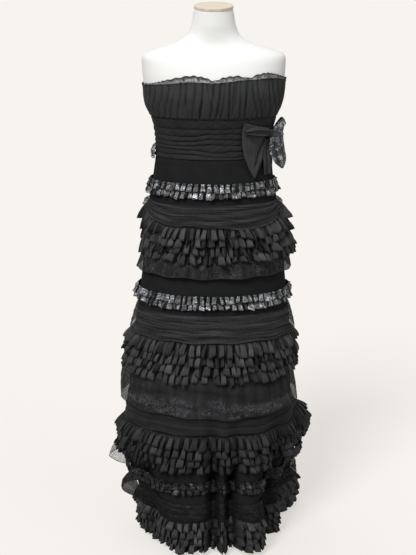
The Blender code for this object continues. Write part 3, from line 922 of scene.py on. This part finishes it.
def sash_folds(angle, height):
    """Rolled folds between the creases, steep below and gentle above, and their painted shade."""
    lines = [smooth(SASH_AT, heights, angle) for heights in SASH_CREASES]
    turn = np.radians(angle)
    total, crown = 0.0 * angle, 1.0 + 0.0 * angle
    for low, high, depth in zip(lines, lines[1:], SASH_DEPTHS):
        t = np.clip((height - low) / (high - low), 0, 1)
        swell = 1 + SWELL * np.sin(5 * turn + 900 * depth)
        total = total + depth * swell * 1.35 * t**0.35 * (1 - t) ** 0.75
        inside = (height > low) & (height < high)
        # painted shade just above each crease and just below the next one up
        shade = (1 - 0.9 * np.exp(-t / 0.13)) * (1 - 0.8 * np.exp(-(1 - t) / 0.06))
        crown = np.where(inside, shade, crown)
    slack = np.sin(23 * turn + height * 260) + np.sin(37 * turn - height * 420)
    return total + SLACK * slack, crown


WAIST_BAND = 0.024


def under_bow(angle, height, out):
    """Points off the sash, and off the skirt below the waist seam."""
    share = soft_step((height - WAIST_SEAM) / WAIST_BAND + 0.5)[:, None]
    return skirt(angle, height, out) * (1 - share) + torso(angle, height, out) * share


def on_waist(angle, v):
    """The folded sash between the waist seam and the bust."""
    height = SASH_LOW + (UNDERBUST - SEAM - SASH_LOW) * v
    rolled, crown = sash_folds(angle, height)
    return under_bow(angle, height, EASE + SASH_OFF + rolled), crown


sew_panels("sash", on_waist, 110, 55, 110, sash_chiffon)

# %% [markdown]
# ## The skirt
# The skirt is the plain matt cloth that shows between the tiers. It follows the sections and
# the hanging folds, with shallow drags in the cloth.

# %% The skirt's panels
DRAG = 0.0003


def on_hips(angle, v):
    """The plain skirt from its hem to the waist seam."""
    turn = np.radians(angle)
    height = HEM + (WAIST_SEAM - HEM) * v
    drag = np.sin(9 * turn + height * 7) + np.sin(17 * turn - height * 11)
    out = -2 * DRAG + DRAG * drag * np.sin(np.pi * v)
    # painted shade inside the hanging folds
    return skirt(angle, height, out), painted_fold_light(angle, height)


sew_panels("skirt", on_hips, 140, 70, 70, skirt_cloth)

# %% [markdown]
# ## Pleated rows
# A ruffle row is a strip of taffeta pressed into box pleats. Seen from above, each pleat is a
# flat face whose cloth turns back under it at both sides, so a dark gap parts it from its
# neighbour. One short profile gives that turn, and also paints shade into the gap and a
# highlight on the face's edges. Every pleat then gets its own width, drop, lift, twist and
# lean from a seeded generator, as cloth that has been worn and packed has, and its own
# amount of painted light. At the wearer's two sides the rows of the first tier climb and
# spread apart.

# %% The profile of a box pleat
# The last column is painted light: shade in the gap where the cloth turns under, and a painted
# highlight on the face's edges, a little brighter than its middle.
PLEAT = table(
    "along depth crown",
    (0.000, 1.00, 0.00),
    (0.120, 0.98, 0.00),
    (0.235, 0.60, 0.04),
    (0.185, 0.25, 0.40),
    (0.215, 0.00, 1.00),
    (0.500, 0.00, 0.80),
    (0.785, 0.00, 1.00),
    (0.815, 0.25, 0.40),
    (0.765, 0.60, 0.04),
    (0.880, 0.98, 0.00),
)
STEPS = len(PLEAT["along"])
PLEAT_ROWS = 6
LEAST_CLEARANCE = 0.006
LEAST_OUT = 0.0012
SEWN_OUT = 0.0030
HEM_WAVE = 0.002
SWAY = 0.005
FULL_FLARE = 0.018
TUCKED = {"ruffle_1": (-90, 55, 0.75), "lace_frill_1": (95, 60, 0.8)}
SIDE_RISE = {"ruffle_1": 0.042}


def pleated(
    name, top, bottom, flare, count, seed, deep, loose, painted_tier_light=1.0, shade=0.34, header=0.0,
    crumple=0.0, lead=0, spread=0.2, rise=(0, 0),
):
    """The place of a pleated row. loose scales how unlike each other its pleats are, shade is
    the share down to which a shadow from the row above is painted on it, crumple is how far its
    points are crushed out of place, spread opens the faces wider, and rise is how far its top
    and bottom climb at the sides. TUCKED says where a row lies closer to the skirt: the angle,
    the half width and the share. The row's colour carries painted light: shade in the gaps and
    under the row above, painted highlights that differ from pleat to pleat and with the
    crushing, and less light as a whole on the lower tiers."""
    deal = np.random.default_rng(seed)
    widths = 1 + 0.30 * loose * deal.uniform(-1, 1, count)
    ends = np.concatenate([[0], np.cumsum(widths)]) / widths.sum()
    drop, lift, twist, lean, slope, fan, shine = (deal.normal(0, 1, count) for _ in range(7))
    crush = deal.normal(0, 1, (PLEAT_ROWS + 1, 3 * count))
    centre, half, share = TUCKED.get(name, (0, 1, 0))

    def place(u, v):
        knot = np.rint(u * count * STEPS).astype(int)
        pleat, step = (knot // STEPS) % count, knot % STEPS
        whole = np.where(knot == count * STEPS, 1.0, 0.0)
        down = 1 - v

        def own(values):
            shared = (values[pleat] + values[(pleat - 1) % count]) / 2
            return np.where(step == 0, shared, values[pleat])

        opened = np.clip(0.60 + (0.40 + spread) * down + 0.10 * loose * own(fan) * down, 0, 1.6)
        plain = step / STEPS
        along = plain + (PLEAT["along"][step] - plain) * opened
        angle = 360 * (ends[pleat] + (ends[pleat + 1] - ends[pleat]) * along + whole) - 180
        across = np.where(step == 0, 0.0, PLEAT["along"][step] - 0.5)
        turn = np.radians(angle)
        low = bottom + HEM_WAVE * np.sin(5 * turn + 2 * lead)
        low = low - loose * (0.0010 * own(drop) + 0.0045 * own(slope) * across)
        height = top + (np.maximum(low, LEAST_CLEARANCE) - top) * down
        height = height + (rise[0] + (rise[1] - rise[0]) * down) * at_sides(angle)
        angle = angle + loose * own(lean) * down * 0.8
        reach = flare * (1 - share * soft_bump((angle - centre) / half))
        wave = SWAY * np.cos(12 * turn + lead * np.pi / 2) * (0.8 + 0.2 * np.sin(3 * turn + lead))
        own_lift = loose * (0.0022 * own(lift) + 0.012 * own(twist) * across)
        outward = reach + wave * min(1.0, flare / FULL_FLARE) + own_lift
        curve = 1 - (1 - down) ** 1.7 + header * soft_bump((down - 0.12) / 0.24)
        depth = PLEAT["depth"][step] * deep * (0.25 + 0.75 * np.clip(down * 1.4, 0, 1))
        row, third = np.rint(v * PLEAT_ROWS).astype(int), (3 * knot // STEPS) % (3 * count)
        crushed = crush[row, third] * crumple
        out = np.maximum(LEAST_OUT, SEWN_OUT + outward * curve - depth + crushed)
        # painted shadow from the row above, painted highlights that vary by pleat and by crushing,
        # and painted shade in the skirt's folds
        shaded = 0.05 + 0.95 * soft_step((down - shade) / 0.12)
        painted_glints = np.clip(0.78 + 0.22 * own(shine) + 190 * crushed, 0.2, 1)
        crown = PLEAT["crown"][step] * shaded * painted_glints * painted_tier_light * painted_fold_light(angle, height)
        return skirt(angle, height, fold_room(angle, height) + out), crown

    return place


# %% Four tiers of ruffles
# The sixth column dims each tier's colour as painted shade, the lower tiers less lit, and the
# third tier also takes the taffeta's darker copy, painted in shade.
TIERS = {
    "ruffle_1": (0.914, (0.882, 0.860, 0.839, 0.819), 0.016, 64, 1.35, 1.00, taffeta),
    "ruffle_2": (0.606, (0.568, 0.543, 0.518, 0.494), 0.019, 70, 1.15, 1.00, taffeta),
    "ruffle_3": (0.344, (0.309, 0.287, 0.265, 0.244), 0.021, 72, 0.80, 0.85, shaded_taffeta),
    "ruffle_4": (0.107, (0.081, 0.059, 0.037, 0.016), 0.023, 72, 0.90, 0.84, taffeta),
}
ROW_NODES = {"a": "a", "b": "b", "c": None, "d": "c"}
OVERLAP = 0.012
PLEAT_DEEP = 0.011
TOP_SHADE, ROW_SHADE = 0.14, 0.34
lead = 0
for tier, (top, bottoms, flare, count, loose, painted_tier_light, look) in TIERS.items():
    for row, (letter, solid) in enumerate(ROW_NODES.items()):
        pleats = count + 2 * (lead % 3)
        place = pleated(
            tier, top, bottoms[row], flare, pleats, 40 + lead, PLEAT_DEEP, loose, painted_tier_light,
            ROW_SHADE if row else TOP_SHADE, lead=lead,
            rise=SIDE_RISE.get(tier, 0) * np.array([4 - row, 3 - row]) / 4,
        )
        sew(
            f"{tier}{letter}_cloth", pleats * STEPS, PLEAT_ROWS, place, look,
            [tier + solid] if solid else [], closed=True, pressed=True,
        )
        top = bottoms[row] + OVERLAP
        lead += 1

# %% [markdown]
# ## Lace frills
# The grey lace is pleated by the same function, in narrower and less even pleats. Each frill
# has two short rows, and a small heading stands above the line of stitches.

# %% Three lace frills
FRILLS = {
    "lace_frill_1": ((1.022, 1.002, 0.985), 0.0065, 66, 71, frill_lace),
    "lace_frill_2": ((0.728, 0.708, 0.692), 0.0070, 78, 72, frill_lace),
    "lace_frill_3": ((0.212, 0.193, 0.178), 0.0070, 84, 73, dim_lace),
}
FRILL_OVERLAP = 0.007
FRILL_DEEP = 0.0044
for name, (edges, flare, count, seed, look) in FRILLS.items():
    for row in (0, 1):
        place = pleated(
            name, edges[row] + FRILL_OVERLAP * row, edges[row + 1], flare, count + row,
            seed + 10 * row, FRILL_DEEP, 0.8, shade=0.58 * row - 0.2,
            header=0.6 - 0.3 * row, crumple=0.0007, lead=seed + row, spread=0.45,
        )
        sew(
            f"{name}{'ab'[row]}_cloth", (count + row) * STEPS, PLEAT_ROWS, place,
            look, [] if row else [name],
            thick=NET, closed=True, pressed=True,
        )

# %% [markdown]
# ## Net flounces
# The flounces are single layers of net, barely gathered, that hang in long soft folds. The
# widest has a worked lace edge. Waves of several lengths, added together, give folds that
# never repeat at the same pitch.

# %% Flounces and the lined band
WAVES = np.array([7, 11, 16, 23, 31, 43])
DIP_HALF = 45
HUNG_OUT = 0.0012
LEAST_HUNG = 0.0008
NO_FLICK = (0, 1, 0, 0, 0)


def hung(
    top, bottom, flare, ripple, seed, dip=0.0, quick=1.0, level=0.0, dip_angle=16,
    flick=NO_FLICK, rise=0.0,
):
    """The place of a flounce. quick is how soon it leaves the skirt, level is the depth of its
    level folds, and rise is how far its hem climbs at the sides. flick is where a stretch
    stands away: its angle, half width, reach, share down, and how much higher it starts."""
    deal = np.random.default_rng(seed)
    heights = ripple * deal.uniform(0.4, 1.0, len(WAVES)) / np.sqrt(WAVES / WAVES[0])
    shifts = deal.uniform(0, math.tau, len(WAVES))
    centre, half, reach, share, higher = flick

    def place(u, v):
        angle = 360 * u - 180
        turn, down = np.radians(angle), 1 - v
        folds = sum(h * np.cos(n * turn + s + 2 * down) for n, h, s in zip(WAVES, heights, shifts))
        low = bottom - dip * soft_bump((angle - dip_angle) / DIP_HALF) + rise * at_sides(angle)
        low = low + 0.0018 * np.sin(13 * turn + seed) + 0.3 * folds
        aside = soft_bump((angle - centre) / half)
        start = top + higher * aside
        height = start + (low - start) * down
        first = np.sin(down * 19 + 2 * np.sin(3 * turn + seed))
        second = np.sin(down * 37 - 3 * np.sin(2 * turn))
        creases = level * (first + 0.6 * second)
        out = fold_room(angle, height) + flare * down**quick + folds * down
        out = out + creases * np.sin(np.pi * down)
        out = out + reach * aside * soft_bump((down - share) / 0.8)
        # painted light on the level folds, darker in their hollows, and painted shade in the
        # skirt's folds
        lit = np.clip(0.85 + 0.5 * creases / max(level, 0.001), 0.3, 1)
        points = skirt(angle, height, np.maximum(LEAST_HUNG, out + HUNG_OUT))
        return points, painted_fold_light(angle, height) * lit

    return place


FIRST_RISE = SIDE_RISE["ruffle_1"]
UPPER_FLICK = (-92, 28, 0.013, 0.45, 0)
LOWER_FLICK = (-93, 22, 0.046, 0.90, 0.030)
FLOUNCES = {
    "net_flounce_1": (
        "net", net, hung(0.966, 0.914, 0.012, 0.0014, 81, 0.009, 0.7, 0.0012, 28, rise=FIRST_RISE),
    ),
    "net_flounce_2": ("dark_lace", dark_lace, hung(0.830, 0.777, 0.012, 0.0022, 82, quick=0.8)),
    "net_flounce_3": ("net", net, hung(0.674, 0.604, 0.012, 0.0014, 83, 0, 0.8, 0.0006)),
    "net_flounce_4": (
        "net", bordered_net,
        hung(0.530, 0.401, 0.016, 0.0022, 84, 0.006, 0.5, 0.0006, flick=UPPER_FLICK),
    ),
    "lined_band": ("chiffon", band_chiffon, hung(0.412, 0.3446, 0.0035, 0.0006, 85, level=0.0014)),
    "net_flounce_5": (
        "dark_lace", deep_lace,
        hung(0.149, 0.104, 0.014, 0.0018, 86, 0, 0.7, 0.0006, flick=LOWER_FLICK),
    ),
}
for name, (slot, look, place) in FLOUNCES.items():
    sew(f"{name}_cloth", 320, 20, place, look, [name], thick=NET, closed=True)

# %% [markdown]
# A lining net hangs below the third tier and stands out at the wearer's right, where its taped
# hem shows against the background. It is small and soft, so it has no solid of its own.

# %% The end of the lining net
LINING_TOP, LINING_LOW = 0.276, 0.212
LINING_START, LINING_SPAN = -114, 50
LINING_OUT, LINING_REACH = 0.010, 0.042


def lining_net(u, v):
    """A stretch of net that stands out most in its middle."""
    angle, down = LINING_START + LINING_SPAN * u, 1 - v
    height = LINING_TOP + (LINING_LOW - LINING_TOP) * down
    reach = LINING_OUT + LINING_REACH * down**0.8 * soft_bump(1.06 * (2 * u - 1))
    reach = reach + 0.0015 * np.cos(math.tau * 4 * u) * down
    return skirt(angle, height, fold_room(angle, height) + reach), 1


sew("lining_net_end", 60, 16, lining_net, lining, [], thick=NET)

# %% [markdown]
# ## The bow
# The bow is tied from chiffon and from lace: a flat loop and a pointed tail of chiffon towards
# the front, and a loop and a tail of lace towards the side. The folds of a tail run together
# at the knot. A loop is a band that runs out and comes back in front of itself.

# %% Tails
def even_folds(u, v, count):
    """Soft even pleats that run together at the top."""
    turn = math.tau * count * (u + 0.5 * (u - 0.5) * v**2) + 0.8 * v
    return np.cos(turn) + 0.45 * np.cos(2.3 * turn + 1)


def pressed_folds(u, v, creases):
    """Creases given one by one, as rows of (across at the tip, across at the top, bend, depth,
    width, start, end)."""
    total = 0.55 + 0.0 * u
    for low, high, bend, depth, width, start, end in creases:
        away = (u - low - (high - low) * v**bend) / width
        length = run(v, start, end, 0.12)
        ridge = 0.4 * np.exp(-((away - 2.2) ** 2))
        total = total + depth * length * (ridge - np.exp(-np.abs(away)))
    return total


LEAST_TAIL = 0.0036


def tail(rows, folds, depth):
    """The place of a tail, from rows of (height, start, end, near, far), the tip first. folds
    is how many even pleats it has, or a table of creases."""
    heights, *columns = np.array(rows).T
    pleats_at = pressed_folds if isinstance(folds, tuple) else even_folds

    def place(u, v):
        height = heights[0] + (heights[-1] - heights[0]) * v
        start, end, near, far = (smooth(heights, column, height) for column in columns)
        pleats = pleats_at(u, v, folds)
        edges = np.sin(np.pi * np.clip(u, 0.02, 0.98)) ** 0.5
        out = near + (far - near) * u + depth * pleats * edges
        # painted shade in the pleats' hollows, lighter on their ridges
        crown = np.clip(0.74 + 0.40 * pleats, 0.12, 1)
        return under_bow(start + (end - start) * u, height, np.maximum(out, LEAST_TAIL)), crown

    return place


LEAF_CREASES = (
    (0.22, 0.15, 1.0, 0.60, 0.030, 0.05, 1.20),
    (0.43, 1.17, 1.0, 2.40, 0.075, 0.12, 0.84),
    (2.11, -0.49, 1.0, 1.00, 0.110, 0.52, 0.80),
    (0.34, 0.30, 1.0, 0.35, 0.045, 0.20, 0.66),
    (0.30, 1.24, 1.0, 0.60, 0.040, 0.40, 0.82),
)
BOW_UNDER_TAIL = (
    (1.037, 54.5, 71.0, 0.0042, 0.0042),
    (1.080, 52.5, 71.5, 0.0085, 0.0085),
    (1.128, 57.0, 68.0, 0.0074, 0.0074),
)
BOW_TAIL = (
    (1.033, 38.0, 38.8, 0.0100, 0.0100),
    (1.056, 32.8, 44.0, 0.0115, 0.0100),
    (1.082, 28.3, 50.0, 0.0140, 0.0105),
    (1.105, 26.0, 53.5, 0.0150, 0.0095),
    (1.127, 25.0, 56.5, 0.0145, 0.0089),
    (1.152, 25.0, 58.5, 0.0120, 0.0086),
    (1.165, 25.4, 43.0, 0.0120, 0.0100),
    (1.176, 26.4, 28.0, 0.0115, 0.0110),
)
LACE_TAIL = (
    (1.045, 84.0, 88.0, 0.0240, 0.0290),
    (1.062, 71.5, 93.0, 0.0150, 0.0370),
    (1.080, 66.0, 94.5, 0.0128, 0.0390),
    (1.098, 62.5, 94.0, 0.0122, 0.0380),
    (1.116, 61.0, 92.0, 0.0122, 0.0350),
    (1.140, 64.0, 86.0, 0.0122, 0.0300),
)
SIDE_LACE_TAB = (
    (1.074, -100.0, -76.0, 0.0070, 0.0070),
    (1.091, -106.0, -74.0, 0.0130, 0.0120),
    (1.109, -100.0, -78.0, 0.0065, 0.0060),
)
TAILS = {
    "bow_under_tail": ("sash_chiffon", bow_chiffon, 1.5, 0.0014, BOW_UNDER_TAIL),
    "bow_tail": ("chiffon", bow_chiffon, LEAF_CREASES, 0.0026, BOW_TAIL),
    "lace_tail": ("bow_lace", bow_lace, 2.0, 0.0014, LACE_TAIL),
    "side_lace_tab": ("bow_lace", bow_lace, 3.5, 0.0034, SIDE_LACE_TAB),
}
for name, (slot, look, folds, depth, rows) in TAILS.items():
    place = tail(rows, folds, depth)
    sew(f"{name}_cloth", 48, 44, place, look, [name])


# %% Loops
def loop(rows, creases):
    """The place of a loop, from rows of (angle, middle, half, inner, outer), from the knot out.
    creases is how deep its folds are."""
    path = [row[:4] for row in rows] + [row[:3] + row[4:] for row in reversed(rows)]
    marks = np.arange(len(path), dtype=float)
    columns = np.array(path).T
    lowest = columns[3].min()
    forwards = rows[-1][0] < rows[0][0]

    def place(u, v):
        at = (u if forwards else 1 - u) * marks[-1]
        angle, middle, half, out = (smooth(marks, column, at) for column in columns)
        side = 2 * v - 1
        waves = np.cos(math.tau * 1.3 * v + 0.6) + 0.5 * np.cos(math.tau * 3.1 * v)
        fold = creases * waves * np.sin(np.pi * at / marks[-1]) ** 0.7
        flat = 0.5 * (out - lowest) * np.maximum(0, side) ** 3
        # painted light and shade: the folds' hollows darker, and fine painted lines across the
        # band
        fine = np.cos(math.tau * 5.3 * v + 0.05 * angle)
        crown = np.clip(0.76 + 0.14 * waves + 0.12 * fine, 0.15, 1)
        return under_bow(angle, middle + half * side, out + fold - flat), crown

    return place


BOW_LOOP = (
    (59.5, 1.146, 0.0065, 0.0122, 0.0150),
    (53.0, 1.150, 0.0100, 0.0145, 0.0200),
    (45.0, 1.153, 0.0115, 0.0155, 0.0225),
    (36.0, 1.155, 0.0105, 0.0165, 0.0220),
    (28.0, 1.154, 0.0040, 0.0165, 0.0180),
)
LACE_LOOP = (
    (66.0, 1.144, 0.0060, 0.0122, 0.0150),
    (70.0, 1.151, 0.0160, 0.0125, 0.0220),
    (79.0, 1.155, 0.0215, 0.0135, 0.0290),
    (88.0, 1.157, 0.0225, 0.0165, 0.0305),
)
LOOPS = {
    "bow_loop": ("chiffon", bow_chiffon, 0.0020, BOW_LOOP),
    "lace_loop": ("bow_lace", bow_lace, 0.0016, LACE_LOOP),
}
for name, (slot, look, creases, rows) in LOOPS.items():
    place = loop(rows, creases)
    sew(f"{name}_cloth", 60, 22, place, look, [name])

# %% [markdown]
# The knot is a short band of chiffon pulled tight round the bow: a ball with grooves across, and
# bands of shade painted across it.

# %% The knot
KNOT_ANGLE, KNOT_HEIGHT, KNOT_OUT = 61.8, 1.143, 0.0136
KNOT_HALF = (0.0085, 0.0060, 0.0115)
GROOVE_DEPTH = 0.06
angles = np.array([KNOT_ANGLE, KNOT_ANGLE + 1])
middle, beside = torso(angles, np.full(2, KNOT_HEIGHT), KNOT_OUT)
facing = Matrix.Rotation(math.atan2(*(beside - middle)[1::-1]), 4, "Z")
knot_mesh = bpy.data.meshes.new("bow_knot_cloth")
with opened(knot_mesh) as bm:
    bmesh.ops.create_uvsphere(bm, u_segments=48, v_segments=24, radius=1.0)
    for vert in bm.verts:
        vert.co.y *= 1 - GROOVE_DEPTH * math.cos(9 * vert.co.x) * (1 - vert.co.z**2)
    placing = Matrix.Translation(middle) @ facing @ Matrix.Diagonal((*KNOT_HALF, 1))
    bmesh.ops.transform(bm, matrix=placing, verts=bm.verts)
knot_mesh.shade_smooth()
# bands of painted shade across the knot
crown = [0.7 - 0.3 * math.cos(750 * vert.co.z) for vert in knot_mesh.vertices]
knot_mesh.attributes.new("crown", "FLOAT", "POINT").data.foreach_set("value", crown)
piece_of("bow_knot_cloth", knot_mesh, chiffon, ["bow_knot"])

# %% [markdown]
# ## Floor, light and camera
# The gown stands in a plain pale studio, on a wide floor that runs out of view. The light is
# soft: an even sky, a broad key from the front left, and weaker ones from the right and from
# behind, which draw the edges of the folds.

# %% The stage and the sky
BACKDROP = (0.905, 0.882, 0.845)
BACKDROP_GLOW = 0.64
FLOOR_RADIUS = 60
floor_mesh = bpy.data.meshes.new("floor")
with opened(floor_mesh) as bm:
    bmesh.ops.create_circle(bm, cap_ends=True, segments=96, radius=FLOOR_RADIUS)
floor = placed("floor", floor_mesh)
floor_look = new_look("pale floor", (0.30, 0.29, 0.28), 0.9, specular=0.0)
shader = floor_look.node_tree.nodes["Principled BSDF"]
shader.inputs["Emission Color"].default_value = (*BACKDROP, 1)
seen = add_node(floor_look, "LightPath").outputs["Is Camera Ray"]
to_shader(floor_look, "Emission Strength", times(floor_look, seen, BACKDROP_GLOW))
floor_mesh.materials.append(floor_look)

SKY = (0.93, 0.92, 0.905)
SKY_STRENGTH = 0.42
world = bpy.data.worlds.new("studio")
world.use_nodes = True
sky = world.node_tree.nodes["Background"]
sky.inputs["Color"].default_value = (*SKY, 1)
sky.inputs["Strength"].default_value = SKY_STRENGTH
bpy.context.scene.world = world
bpy.context.scene.view_settings.view_transform = "Standard"


# %% Lights
def sun(name, toward, strength, spread):
    """A soft light from one side. toward is the way that it shines."""
    data = bpy.data.lights.new(name, "SUN")
    data.energy = strength
    data.angle = math.radians(spread)
    placed(name, data).rotation_euler = Vector(toward).to_track_quat("-Z", "Y").to_euler()


sun("key", (0.40, 0.75, -0.85), 2.7, 22)
sun("fill", (-0.8, 0.55, -0.35), 0.5, 50)
sun("rim", (0.2, -0.7, -0.9), 0.5, 50)

# %% The camera
PHOTO_TALL = 555
FOCUS = 1106
CAMERA_PLACE = (-0.0142, -2.9, 1.592)
CAMERA_DOWN = math.radians(16.36)
view = bpy.data.cameras.new("view")
view.sensor_width = 36
view.lens = FOCUS / PHOTO_TALL * view.sensor_width
camera = placed("view", view)
camera.location = CAMERA_PLACE
camera.rotation_euler = (math.pi / 2 - CAMERA_DOWN, 0, 0)
bpy.context.scene.camera = camera
